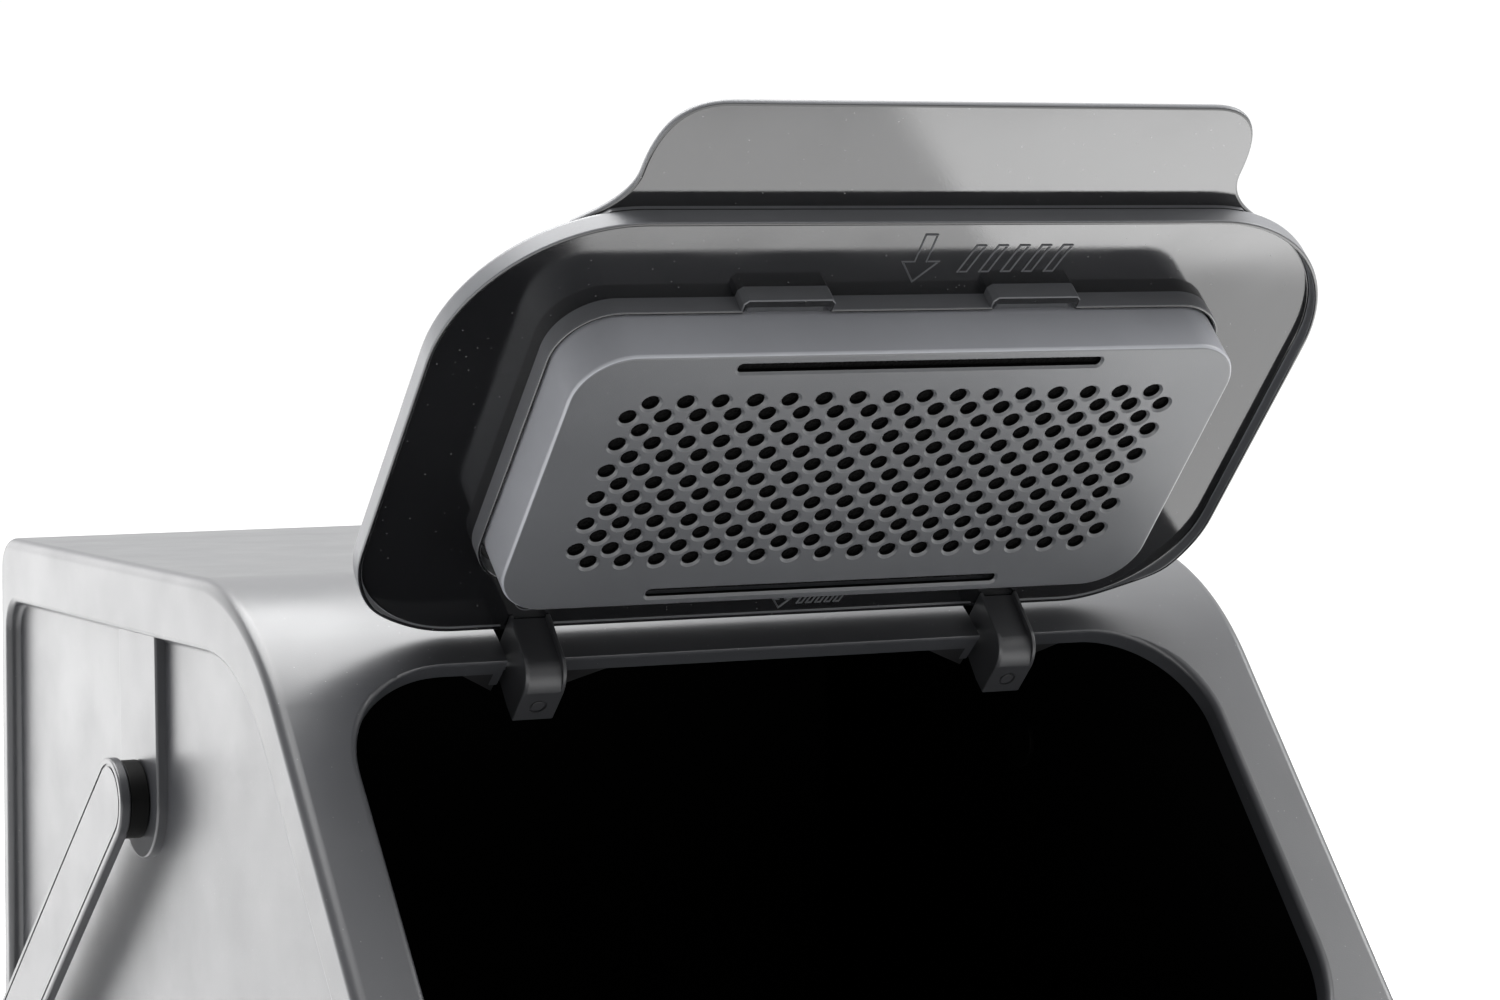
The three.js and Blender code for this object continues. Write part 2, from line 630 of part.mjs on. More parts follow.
place(litterBox, "litter_tray", tray(), MATERIALS.tray);
place(litterBox, "hood_shell", hood(), MATERIALS.hood);
place(lidGroup, "lid_panel", lidPanel(), MATERIALS.lid);
place(lidGroup, "filter_cover", filterCover(), MATERIALS.cover);
place(lidGroup, "carbon_filter_pad", filterPad(), MATERIALS.filter);
place(handleGroup, "carry_handle", handle(), MATERIALS.handle);
for (const [side, sign] of SIDES) {
  place(lidGroup, "hinge_arm_" + side, hingeArm(sign), MATERIALS.lid);
  place(litterBox, "hinge_pin_" + side, hingePin(sign), MATERIALS.pin);
  place(handleGroup, "handle_hub_" + side, handleHub(sign), MATERIALS.hub);
  for (const [end, y] of Object.entries(LATCH_Y)) {
    place(litterBox, "latch_" + end + "_" + side, latch(sign, y), MATERIALS.latch);
    place(litterBox, "latch_pin_" + end + "_" + side, latchPin(sign, y), MATERIALS.pin);
    const footY = end === "front" ? -FOOT.y : FOOT.y;
    place(litterBox, "foot_" + end + "_" + side, foot(sign * FOOT.x, footY), MATERIALS.foot);
  }
}

export default litterBox;
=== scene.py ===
"""A hooded cat litter box with its entrance lid standing open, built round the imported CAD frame."""

import json
import math

import bmesh
import bpy
from mathutils import Matrix, Vector


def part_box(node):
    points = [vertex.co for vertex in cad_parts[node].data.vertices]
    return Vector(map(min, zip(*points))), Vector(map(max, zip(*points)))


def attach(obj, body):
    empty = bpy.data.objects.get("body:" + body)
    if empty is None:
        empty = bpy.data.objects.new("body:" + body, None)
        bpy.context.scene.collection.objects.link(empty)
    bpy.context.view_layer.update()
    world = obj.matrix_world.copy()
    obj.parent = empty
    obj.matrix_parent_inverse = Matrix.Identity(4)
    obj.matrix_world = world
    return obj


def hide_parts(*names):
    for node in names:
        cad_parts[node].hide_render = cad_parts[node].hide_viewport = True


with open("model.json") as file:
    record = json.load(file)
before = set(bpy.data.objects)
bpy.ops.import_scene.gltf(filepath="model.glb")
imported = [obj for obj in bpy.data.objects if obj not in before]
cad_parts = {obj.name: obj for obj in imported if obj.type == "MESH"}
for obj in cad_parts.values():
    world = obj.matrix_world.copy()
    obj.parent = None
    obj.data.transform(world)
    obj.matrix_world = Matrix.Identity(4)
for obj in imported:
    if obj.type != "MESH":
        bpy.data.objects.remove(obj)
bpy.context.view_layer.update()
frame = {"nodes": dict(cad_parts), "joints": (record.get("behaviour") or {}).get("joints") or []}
JOINTS = {joint["name"]: joint for joint in frame["joints"]}
SIDES = (("left", -1), ("right", 1))

# ---- Driving dimensions, in millimetres, as in the CAD part ----

MM = 0.001
WALL = 3
HOOD_HALF_WIDTH = 191
HOOD_TOP = 400
HOOD_BASE = 125
FRONT_SLOPE = 50  # degrees from the floor
BEND_CORNER_Y = -34.4
BEND_RADIUS = 106
REAR_TOP_Y = 268
REAR_DRAFT = 2  # degrees from upright
REAR_EDGE_RADIUS = 14
SIDE_EDGE_RADIUS = 4.5
PANEL_DEPTH = 5.5
BAND = {"top": 25.4, "front": 20, "rear": 11, "base": 25}
ENTRANCE = {"half": 166.9, "low": -234.8, "high": -35.5, "radius": 61, "high_radius": 41}
ENTRANCE_LIP = 2.6
RIM_DEPTH = 8.1
RIM_BORDER = 2.8
GUSSET = {"inner": 63.5, "outer": 118, "low": -35.4, "high": -33, "depth": 18.5}
LID_SWING = JOINTS["lid_hinge"]["range_deg"][1]
ARM_INNER_X = 84.8
ARM_OUTER_X = 100.2
ARM_SIDE_GAP = 2.9
ARM_PLATE = 19.1
ARM_END = -9.3
ARM_FLANGE = 1.4
ARM_MARK = {"u": -2.2, "radius": 3.3, "button": 2.3, "floor": 17.8}
EAR_THICKNESS = 3.1
HUB_RADIUS = 7.5
HINGE_PIN_RADIUS = 2.5
RUNNING_GAP = 0.3
NOTCH_TOP = 12.6
LID = {"half": 165.2, "low": 9.9, "high": 203.8, "radius": 46, "high_radius": 60}
LID_OUTER = -10.7
LID_INNER = -7.6
LID_CREST = -3.2
LID_HINGE_CREST = -6.8
RIM_WALL = 1.6
LID_EDGE = 1.6
TAB = {
    "root": 196.5, "root_x": 128, "waist": 217.4, "waist_x": 110.2, "top": 247.3, "top_x": 88, "outer": -13.5,
}
TAB_INNER = -11
FRAME_RING = {"half": 125.3, "low": 40.3, "high": 167.3, "radius": 21}
RING_WALL = 1.2
RING_CREST = -0.6
CLIP = {
    "inner": 29.4, "outer": 62.8, "foot": 166.4, "mouth": 168.9, "back": 171.8, "crest": -0.8, "wall": 1.1,
}
LUG = {"inner": 32.5, "outer": 59.7, "tip": 170.4, "low": -4.6, "high": -2.2}
COVER = {"half": 123.3, "low": 45.9, "high": 165.3, "radius": 19.5}
COVER_FACE = 17.4
COVER_BASE = -6.6
COVER_DRAFT = 0.3
COVER_SKIN = 2
COVER_EDGE = 1.4
HOLES_MIDDLE = 106.4
HOLE_PITCH = 12.5
HOLE_RADIUS = 3.05
HOLE_ROWS = 13
SLOT_HALF_WIDTH = 67.5
SLOT_HEIGHT = 3.8
SLOT_PLACES = (158.8, 51.8)
COUNTERSINK = 0.95
MARK_WIDTH = 0.75
MARK_HEIGHT = 0.55
MARK_PLACES = ((0, 174, 1.0), (4, 14, 0.45))  # x, u and scale
PIP = {"x": 94.4, "u": 24, "radius": 5.2, "width": 0.45, "height": 0.4}
BAIL_DROP = 38  # degrees below level
BAIL_LENGTH = 246.7
BAIL_OUTER_X = 201.2
BAIL_HALF_WIDTH = 15.6
BAIL_THICKNESS = 4
GRIP_RADIUS = 7.5
HUB_BORE = 9.3
BOSS_HALF_WIDTH = 21.9
BOSS_RISE = 4
TRAY = {"half": 186, "front": -264, "back": 275, "radius": 26}
TRAY_TAPER = 12
TRAY_FLOOR = 3.3
TRAY_RIM = {"half": 194, "low": -292, "high": 292, "radius": 24}
RIM_TOP = 124.7
LIP_DROP = 11.7
LIP_THICKNESS = 2.5
UPSTAND_HEIGHT = 7
UPSTAND = {"half": 187, "low": -253.5, "high": 270, "radius": 14}
LATCH_PIN_X = 195
LATCH_PIN_Z = 141
LATCH_WIDTH = 42
LATCH_HUB = 3.7
LATCH_BORE = 1.8
LATCH_EAR = {"width": 4, "low": 135, "high": 147, "radius": 4}

HINGE = Vector(JOINTS["lid_hinge"]["pos_m"]) / MM
PIVOT = Vector(JOINTS["carry_handle_pivot"]["pos_m"]) / MM


def turned(place, degrees):
    return Matrix.Translation(place) @ Matrix.Rotation(math.radians(degrees), 4, "X")


ROW_FRAME = Matrix.Identity(4)
SLOPE_FRAME = turned((0, BEND_CORNER_Y, HOOD_TOP), FRONT_SLOPE)
LID_FRAME = turned(HINGE, FRONT_SLOPE + 180 - LID_SWING)
HANDLE_FRAME = turned(PIVOT, -BAIL_DROP)

# ---- Outlines: closed lists of 2-D points, anticlockwise ----


def arc(centre, radius, start, end, steps):
    """Points on a circle from one angle to another, in degrees."""
    angles = [math.radians(start + (end - start) * k / steps) for k in range(steps + 1)]
    return [(centre[0] + radius * math.cos(a), centre[1] + radius * math.sin(a)) for a in angles]


def curve(start, control, end, steps):
    """Points on a quadratic curve, without its first point."""
    points = []
    for k in range(1, steps + 1):
        t = k / steps
        weights = ((1 - t) ** 2, 2 * t * (1 - t), t * t)
        points.append(tuple(sum(w * p[i] for w, p in zip(weights, (start, control, end))) for i in (0, 1)))
    return points


def s_curve(start, first, second, end, steps):
    """Points on a cubic curve, without its first point."""
    points = []
    for k in range(1, steps + 1):
        t = k / steps
        weights = ((1 - t) ** 3, 3 * t * (1 - t) ** 2, 3 * t * t * (1 - t), t**3)
        corners = (start, first, second, end)
        points.append(tuple(sum(w * p[i] for w, p in zip(weights, corners)) for i in (0, 1)))
    return points


def rounded_box(box, steps=14):
    """A rectangle with rounded corners, whose two high corners may have a radius of their own."""
    half, low, high = box["half"], box["low"], box["high"]
    points = []
    for turn, (x, y) in enumerate(((half, high), (-half, high), (-half, low), (half, low))):
        radius = box.get("high_radius", box["radius"]) if y == high else box["radius"]
        centre = (x - math.copysign(radius, x), y + (radius if y == low else -radius))
        points += arc(centre, radius, 90 * turn, 90 * turn + 90, steps)
    return points


def grown(points, distance):
    """The outline moved outwards by a distance, with mitred corners."""
    moved = []
    count = len(points)
    for i in range(count):
        before = Vector(points[i]) - Vector(points[i - 1])
        after = Vector(points[(i + 1) % count]) - Vector(points[i])
        first = Vector((before.y, -before.x)).normalized()
        second = Vector((after.y, -after.x)).normalized()
        miter = (first + second) / (1 + first.dot(second))
        moved.append((points[i][0] + distance * miter.x, points[i][1] + distance * miter.y))
    return moved


def mirrored(points):
    """The points of a right half with the left half added, in order."""
    return points + [(-x, y) for x, y in reversed(points)]


# ---- Solids ----


def solid(vertices, faces, material=None):
    mesh = bpy.data.meshes.new("solid")
    mesh.from_pydata(vertices, [], faces)
    work = bmesh.new()
    work.from_mesh(mesh)
    bmesh.ops.remove_doubles(work, verts=work.verts, dist=1e-4)
    bmesh.ops.recalc_face_normals(work, faces=work.faces)
    work.to_mesh(mesh)
    work.free()
    if material:
        mesh.materials.append(material)
    piece = bpy.data.objects.new("solid", mesh)
    bpy.context.scene.collection.objects.link(piece)
    return piece


def loft(rings, closed=False, material=None):
    """A skin over rings of equally many points, with flat ends, or closed on itself."""
    count = len(rings[0])
    total = len(rings)
    faces = []
    for k in range(total if closed else total - 1):
        low = k * count
        high = (k + 1) % total * count
        faces += [(low + i, low + (i + 1) % count, high + (i + 1) % count, high + i) for i in range(count)]
    if not closed:
        faces.append(tuple(reversed(range(count))))
        faces.append(tuple(range((total - 1) * count, total * count)))
    return solid([point for ring in rings for point in ring], faces, material)


def swept(outline, profile, closed=False, material=None):
    """An outline in x, y carried through (growth, height) stations."""
    rings = [[(x, y, height) for x, y in grown(outline, growth)] for growth, height in profile]
    return loft(rings, closed, material)


def across(outline, profile, material=None):
    """An outline in the Y-Z plane carried through (growth, x) stations."""
    rings = [[(x, y, z) for y, z in grown(outline, growth)] for growth, x in profile]
    return loft(rings, False, material)


def slab(low, high, edge):
    """Stations for a plate from low to high whose two rims are rounded."""
    bottom = [(-edge + g, low + edge + h) for g, h in arc((0, 0), edge, -90, 0, 4)]
    top = [(-edge + g, high - edge + h) for g, h in arc((0, 0), edge, 0, 90, 4)]
    return bottom + top


def recess(face, floor, lip, fillet, above=2):
    """Stations for a cutter: a rounded lip at the face, a wall, and a fillet at the floor."""
    sign = 1 if face > floor else -1
    stations = [(lip, face + sign * above)]
    stations += [(lip - lip * math.sin(a), face - sign * lip * (1 - math.cos(a))) for a in quarter(5)]
    if fillet:
        bend = [(fillet * (math.cos(a) - 1), fillet * (1 - math.sin(a))) for a in quarter(5)]
        stations += [(growth, floor + sign * rise) for growth, rise in bend]
    else:
        stations.append((0, floor))
    return stations


def quarter(steps):
    """Angles from 0 to 90 degrees, in radians."""
    return [math.pi / 2 * k / steps for k in range(steps + 1)]


def block(low, high, edge=0.0):
    """A box, whose edges may be rounded."""
    corners = [(x, y, z) for z in (low[2], high[2]) for y in (low[1], high[1]) for x in (low[0], high[0])]
    faces = [(0, 2, 3, 1), (4, 5, 7, 6), (0, 1, 5, 4), (2, 6, 7, 3), (0, 4, 6, 2), (1, 3, 7, 5)]
    piece = solid(corners, faces)
    if edge:
        soften(piece, edge, 30)
    return piece


def rod(radius, low, high, centre, axis, steps=40, edge=0.0):
    """A round bar along axis 0, 1 or 2, with rounded ends."""
    others = [i for i in range(3) if i != axis]
    stations = slab(low, high, edge) if edge else [(0, low), (0, high)]
    rings = []
    for growth, along in stations:
        ring = []
        for a, b in arc((0, 0), radius + growth, 0, 360, steps)[:-1]:
            point = [0, 0, 0]
            point[axis] = along
            point[others[0]] = centre[0] + a
            point[others[1]] = centre[1] + b
            ring.append(tuple(point))
        rings.append(ring)
    return loft(rings)


def soften(piece, width, angle, segments=2):
    """Rounds the edges sharper than an angle, in degrees."""
    work = bmesh.new()
    work.from_mesh(piece.data)
    sharp = [e for e in work.edges if e.is_manifold and e.calc_face_angle(0) > math.radians(angle)]
    bmesh.ops.bevel(
        work, geom=sharp, offset=width, segments=segments, profile=0.5, affect="EDGES", clamp_overlap=True,
    )
    work.to_mesh(piece.data)
    work.free()


def moved(piece, matrix):
    piece.data.transform(matrix)
    return piece


def joined(pieces):
    """Several separate solids as one mesh."""
    work = bmesh.new()
    for piece in pieces:
        work.from_mesh(piece.data)
    first = pieces[0]
    work.to_mesh(first.data)
    work.free()
    for piece in pieces[1:]:
        bpy.data.objects.remove(piece)
    return first


def combined(target, tool, operation):
    modifier = target.modifiers.new("combine", "BOOLEAN")
    modifier.operation = operation
    modifier.solver = "EXACT"
    modifier.material_mode = "TRANSFER"
    modifier.object = tool
    graph = bpy.context.evaluated_depsgraph_get()
    mesh = bpy.data.meshes.new_from_object(target.evaluated_get(graph))
    target.modifiers.clear()
    target.data = mesh
    bpy.data.objects.remove(tool)
    return target


def cut(target, tool):
    return combined(target, tool, "DIFFERENCE")


def add(target, tool):
    return combined(target, tool, "UNION")


def common(target, tool):
    return combined(target, tool, "INTERSECT")


def shown(piece, name, body, nodes, place=ROW_FRAME, material=None, crease=34):
    """Turns a solid in a local frame into a finished piece that rides on a CAD body."""
    piece.name = name
    piece.data.name = name
    piece.data.transform(Matrix.Scale(MM, 4) @ place)
    if material:
        piece.data.materials.clear()
        piece.data.materials.append(material)
    piece.data.shade_smooth()
    piece.data.set_sharp_from_angle(angle=math.radians(crease))
    weighted = piece.modifiers.new("weighted_normals", "WEIGHTED_NORMAL")
    weighted.keep_sharp = True
    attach(piece, body)
    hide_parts(*nodes)
    return piece


# ---- Materials ----


def node_tree(name):
    material = bpy.data.materials.new(name)
    material.use_nodes = True
    tree = material.node_tree
    return material, tree, tree.nodes["Principled BSDF"]


def textured(tree, kind, scale, **settings):
    """A texture node in the piece's own coordinates, which are metres."""
    place = tree.nodes.get("place") or tree.nodes.new("ShaderNodeTexCoord")
    place.name = "place"
    texture = tree.nodes.new(kind)
    texture.inputs["Scale"].default_value = scale
    for key, value in settings.items():
        texture.inputs[key].default_value = value
    tree.links.new(place.outputs["Object"], texture.inputs["Vector"])
    return texture


def ranged(tree, source, low, high, from_low=0.0, from_high=1.0):
    node = tree.nodes.new("ShaderNodeMapRange")
    node.inputs["From Min"].default_value = from_low
    node.inputs["From Max"].default_value = from_high
    node.inputs["To Min"].default_value = low
    node.inputs["To Max"].default_value = high
    tree.links.new(source, node.inputs["Value"])
    return node.outputs["Result"]


def bumped(tree, source, distance, strength, under=None):
    node = tree.nodes.new("ShaderNodeBump")
    node.inputs["Distance"].default_value = distance
    node.inputs["Strength"].default_value = strength
    tree.links.new(source, node.inputs["Height"])
    if under:
        tree.links.new(under, node.inputs["Normal"])
    return node.outputs["Normal"]


def mixed(tree, factor, first, second):
    node = tree.nodes.new("ShaderNodeMix")
    node.data_type = "RGBA"
    node.inputs["A"].default_value = (*first, 1)
    node.inputs["B"].default_value = (*second, 1)
    tree.links.new(factor, node.inputs["Factor"])
    return node.outputs["Result"]


def plastic(
    name, colour, roughness, grain=0.25, grain_scale=2600, level=0.5, dust=0.0, wave=0.0, ior=1.5,
):
    """Moulded plastic: a satin grain and cloudy gloss, with dust and slight sink waves where asked for."""
    material, tree, shader = node_tree(name)
    shader.inputs["Specular IOR Level"].default_value = level
    shader.inputs["IOR"].default_value = ior
    cloud = textured(tree, "ShaderNodeTexNoise", 14, Detail=4)
    tone = ranged(tree, cloud.outputs["Fac"], 0.0, 1.0, 0.35, 0.65)
    base = mixed(tree, tone, tuple(c * 0.93 for c in colour), tuple(min(1, c * 1.07) for c in colour))
    if dust:
        speck = textured(tree, "ShaderNodeTexVoronoi", 260)
        spot = ranged(tree, speck.outputs["Distance"], 1.0, 0.0, 0.02, 0.07)
        scatter = tree.nodes.new("ShaderNodeMix")
        scatter.data_type = "RGBA"
        scatter.inputs["B"].default_value = (dust, dust, dust, 1)
        tree.links.new(spot, scatter.inputs["Factor"])
        tree.links.new(base, scatter.inputs["A"])
        base = scatter.outputs["Result"]
    tree.links.new(base, shader.inputs["Base Color"])
    smear = textured(tree, "ShaderNodeTexNoise", 35, Detail=6)
    gloss = ranged(tree, smear.outputs["Fac"], roughness - 0.03, roughness + 0.03, 0.3, 0.7)
    tree.links.new(gloss, shader.inputs["Roughness"])
    fine = textured(tree, "ShaderNodeTexNoise", grain_scale, Detail=2)
    normal = bumped(tree, fine.outputs["Fac"], 0.0001, grain)
    if wave:
        sink = textured(tree, "ShaderNodeTexNoise", 9, Detail=1)
        normal = bumped(tree, sink.outputs["Fac"], 0.001, wave, normal)
    tree.links.new(normal, shader.inputs["Normal"])
    return material


def foam(name, colour):
    """Open-cell carbon foam."""
    material, tree, shader = node_tree(name)
    cells = textured(tree, "ShaderNodeTexVoronoi", 700)
    tone = ranged(tree, cells.outputs["Distance"], 0.0, 1.0, 0.1, 0.6)
    base = mixed(tree, tone, tuple(c * 0.3 for c in colour), colour)
    tree.links.new(base, shader.inputs["Base Color"])
    shader.inputs["Roughness"].default_value = 0.95
    shader.inputs["Specular IOR Level"].default_value = 0.05
    tree.links.new(bumped(tree, cells.outputs["Distance"], 0.0008, 0.9), shader.inputs["Normal"])
    return material


def steel(name, colour):
    """Drawn wire with fine lines."""
    material, tree, shader = node_tree(name)
    lines = textured(tree, "ShaderNodeTexNoise", 900, Detail=3)
    tone = ranged(tree, lines.outputs["Fac"], 0.0, 1.0, 0.3, 0.7)
    base = mixed(tree, tone, tuple(c * 0.85 for c in colour), colour)
    tree.links.new(base, shader.inputs["Base Color"])
    shader.inputs["Metallic"].default_value = 1.0
    tree.links.new(ranged(tree, lines.outputs["Fac"], 0.25, 0.4), shader.inputs["Roughness"])
    return material


MATERIALS = {
    "hood": plastic("hood_plastic", (0.025, 0.0258, 0.0285), 0.33, dust=0.12, wave=0.12),
    # Near-black, barely reflective copy of the plastic: painted shade for the hood's inside and the vent
    # bores.
    "inside": plastic("hood_inside_painted_shade", (0.001, 0.001, 0.001), 0.7, level=0.05),
    # Darker, less reflective copy of the hood plastic: painted shade on the gussets under the entrance rim.
    "under": plastic("hood_underside_painted_shade", (0.006, 0.006, 0.0065), 0.5, level=0.3),
    "tray": plastic("tray_plastic", (0.024, 0.0245, 0.027), 0.38, wave=0.12),
    "lid": plastic(
        "lid_plastic", (0.004, 0.0041, 0.0046), 0.09, grain=0.08, dust=0.15, wave=0.06, ior=1.63,
    ),
    "arm": plastic("arm_plastic", (0.02, 0.0205, 0.0225), 0.42, grain=0.4, wave=0.3),
    # Lighter copy of the lid plastic for its standing walls: the colour is painted light on faces that catch
    # the light.
    "lid_painted_light_walls": plastic("lid_wall_painted_light", (0.075, 0.077, 0.083), 0.42, grain=0.3),
    "cover": plastic("cover_plastic", (0.05, 0.0515, 0.0555), 0.36, grain=0.4, grain_scale=3200, dust=0.1),
    # Lighter copy of the cover plastic for its standing walls: the colour is painted light on faces that
    # catch the light.
    "cover_painted_light_walls": plastic("cover_wall_painted_light", (0.2, 0.205, 0.222), 0.4, grain=0.3, grain_scale=3200),
    "handle": plastic("handle_plastic", (0.025, 0.0258, 0.0285), 0.33),
    # Near-black with weak reflection: painted shade on the hubs, which sit in shade between the handle and
    # the pads.
    "hub": plastic("hub_plastic", (0.002, 0.002, 0.002), 0.55, level=0.08),
    "latch": plastic("latch_plastic", (0.016, 0.016, 0.018), 0.36),
    "foam": foam("filter_foam", (0.0015, 0.0015, 0.0015)),
    "rubber": plastic("foot_rubber", (0.012, 0.012, 0.012), 0.75, grain=0.6, grain_scale=1500),
    "steel": steel("steel_pin", (0.72, 0.73, 0.75)),
}

# ---- Hood ----


def hood_outline(floor=HOOD_BASE - 20):
    """The hood seen from the side, in y and z."""
    slope = math.radians(FRONT_SLOPE)
    draft = math.radians(REAR_DRAFT)
    tangent = BEND_RADIUS * math.tan(slope / 2)
    rear_angle = (math.pi / 2 - draft) / 2
    rear_tangent = REAR_EDGE_RADIUS * math.tan(rear_angle)
    rise = HOOD_TOP - floor
    points = [(BEND_CORNER_Y - rise / math.tan(slope), floor), (REAR_TOP_Y + rise * math.tan(draft), floor)]
    rear_centre = (REAR_TOP_Y - rear_tangent, HOOD_TOP - REAR_EDGE_RADIUS)
    points += arc(rear_centre, REAR_EDGE_RADIUS, REAR_DRAFT, 90, 10)
    bend_centre = (BEND_CORNER_Y + tangent, HOOD_TOP - BEND_RADIUS)
    points += arc(bend_centre, BEND_RADIUS, 90, 90 + FRONT_SLOPE, 28)
    return points


def hood_block(inset, half_width, edge, material=None):
    outline = grown(hood_outline(), -inset)
    left = [(-edge * (1 - math.sin(a)), -half_width + edge * (1 - math.cos(a))) for a in quarter(8)]
    right = [(growth, -x) for growth, x in reversed(left)]
    return across(outline, left + right, material)


def panel_outline(grow=0.0):
    """The sunk side panel seen from the side, in y and z."""
    slope = math.radians(FRONT_SLOPE)
    lean = math.tan(math.radians(REAR_DRAFT))
    top = HOOD_TOP - BAND["top"] + grow
    base = HOOD_BASE + BAND["base"] - grow
    front = BEND_CORNER_Y + (BAND["front"] - grow) / math.sin(slope)
    rear = REAR_TOP_Y - BAND["rear"] + grow
    bend = BEND_RADIUS - BAND["top"] + grow
    tangent = bend * math.tan(slope / 2)
    front_top = front - (HOOD_TOP - top) / math.tan(slope)
    low_left = (front - (HOOD_TOP - base) / math.tan(slope), base)
    low_right = (rear + (HOOD_TOP - base) * lean, base)
    high_right = (rear + (HOOD_TOP - top) * lean, top)
    points = filleted(low_left, low_right, (front_top, top), 14)
    points += filleted(low_right, high_right, low_left, 10)
    points += filleted(high_right, (front_top, top), low_right, 12)
    points += arc((front_top + tangent, top - bend), bend, 90, 90 + FRONT_SLOPE, 24)
    return points


def filleted(corner, after, before, radius, steps=6):
    """Points round a corner of an outline, from the side of before to the side of after."""
    here = Vector(corner)
    back = (Vector(before) - here).normalized()
    ahead = (Vector(after) - here).normalized()
    half = back.angle(ahead) / 2
    centre = here + (back + ahead).normalized() * (radius / math.sin(half))
    start = here + back * (radius / math.tan(half)) - centre
    turn = math.pi - 2 * half
    points = []
    for k in range(steps + 1):
        a = turn * k / steps
        points.append((
            centre.x + start.x * math.cos(a) - start.y * math.sin(a),
            centre.y + start.x * math.sin(a) + start.y * math.cos(a),
        ))
    return points


def side_recess(sign):
    face = HOOD_HALF_WIDTH
    profile = recess(face, face - PANEL_DEPTH, 2.4, 2.2)
    return across(panel_outline(), [(growth, sign * x) for growth, x in profile])


def boss_pad(sign):
    """The raised pad that carries the handle's pivot."""
    wall = HOOD_HALF_WIDTH - PANEL_DEPTH
    top = HOOD_TOP - BAND["top"] + 3
    outline = [(PIVOT.y + BOSS_HALF_WIDTH, top), (PIVOT.y - BOSS_HALF_WIDTH, top)]
    outline += arc((PIVOT.y, PIVOT.z), BOSS_HALF_WIDTH, 180, 360, 32)
    face = wall + BOSS_RISE
    edge = 0.9
    profile = [(0, wall - 1), (0, face - edge)]
    profile += [(edge * (math.cos(a) - 1), face - edge + edge * math.sin(a)) for a in quarter(4)[1:]]
    return across(outline, [(growth, sign * x) for growth, x in profile])


def hinge_on_slope():
    place = SLOPE_FRAME.inverted() @ HINGE
    return place.y, place.z


def hinge_ear(low, high):
    """A plate beside an arm, in the slope's frame, hanging from the hood's skin round the hinge axis."""
    s, n = hinge_on_slope()
    outline = [(s + 13, n + 3.5), (s, n + 7.5), (s - 7, n + 8)]
    outline += arc((s, n), HUB_RADIUS, 180, 360, 24)
    return across(outline, slab(low, high, 0.4))


def gusset(ear_x, tip_x):
    """The three-cornered web that stiffens an ear, along the entrance's top edge, in a darker copy of the
    hood plastic that paints the shade under the rim.
    """
    outline = [(ear_x, -4), (tip_x, -4), (tip_x, -RIM_DEPTH), (ear_x, -GUSSET["depth"])]
    rings = [[(x, s, n) for x, n in outline] for s in (GUSSET["low"], GUSSET["high"])]
    return loft(rings, False, MATERIALS["under"])


def entrance_rim():
    collar = swept(rounded_box(ENTRANCE, 20), [(RIM_BORDER, -RIM_DEPTH), (RIM_BORDER, 3)])
    moved(collar, SLOPE_FRAME)
    return common(collar, hood_block(0.02, HOOD_HALF_WIDTH - 0.02, SIDE_EDGE_RADIUS))


def hinge_notch(sign):
    s, n = hinge_on_slope()
    low, high = sorted((sign * (ARM_INNER_X - ARM_SIDE_GAP), sign * (ARM_OUTER_X + ARM_SIDE_GAP)))
    return moved(block((low, ENTRANCE["high"] - 10, n - 12), (high, s + NOTCH_TOP, 12)), SLOPE_FRAME)


def latch_ears(sign, y):
    inside = LATCH_WIDTH / 2 + RUNNING_GAP
    wall = HOOD_HALF_WIDTH - 1
    ears = []
    for end in (-1, 1):
        ys = sorted((y + end * inside, y + end * (inside + LATCH_EAR["width"])))
        outline = [(wall, LATCH_EAR["low"]), (LATCH_PIN_X, LATCH_EAR["low"])]
        outline += arc((LATCH_PIN_X, LATCH_PIN_Z), LATCH_EAR["radius"], -60, 90, 10)
        outline += [(wall, LATCH_EAR["high"])]
        rings = []
        for growth, along in slab(*ys, 0.5):
            rings.append([(sign * x, along, z) for x, z in grown(outline, growth)])
        ears.append(loft(rings))
    return ears


def hood_hollow():
    """The inside of the hood, which follows the sunk side panels, in a near-black material that paints the
    shade inside it.
    """
    hollow = hood_block(WALL, HOOD_HALF_WIDTH - WALL, SIDE_EDGE_RADIUS - WALL, MATERIALS["inside"])
    inner = HOOD_HALF_WIDTH - PANEL_DEPTH - WALL
    for _, sign in SIDES:
        stations = [(0, sign * inner), (0, sign * (HOOD_HALF_WIDTH + 1))]
        cut(hollow, across(panel_outline(WALL), stations, MATERIALS["inside"]))
    return hollow


def add_side_fittings(body, side, sign):
    """The pad for the handle, and the ears that carry the two latches."""
    add(body, boss_pad(sign))
    for end in ("front", "rear"):
        y = JOINTS[f"latch_hinge_{end}_{side}"]["pos_m"][1] / MM
        for ear in latch_ears(sign, y):
            add(body, ear)
        place = (sign * LATCH_PIN_X, LATCH_PIN_Z)
        cut(body, rod(LATCH_BORE, y - LATCH_WIDTH, y + LATCH_WIDTH, place, 1, 16))


def add_hinge_ears(body, sign):
    inner_face = ARM_INNER_X - ARM_SIDE_GAP
    outer_face = ARM_OUTER_X + ARM_SIDE_GAP
    for start in (inner_face - EAR_THICKNESS, outer_face):
        low, high = sorted((sign * start, sign * (start + EAR_THICKNESS)))
        add(body, moved(hinge_ear(low, high), SLOPE_FRAME))
    for ear_x, tip_x in ((inner_face - 1, GUSSET["inner"]), (outer_face + 1, GUSSET["outer"])):
        add(body, moved(gusset(sign * ear_x, sign * tip_x), SLOPE_FRAME))


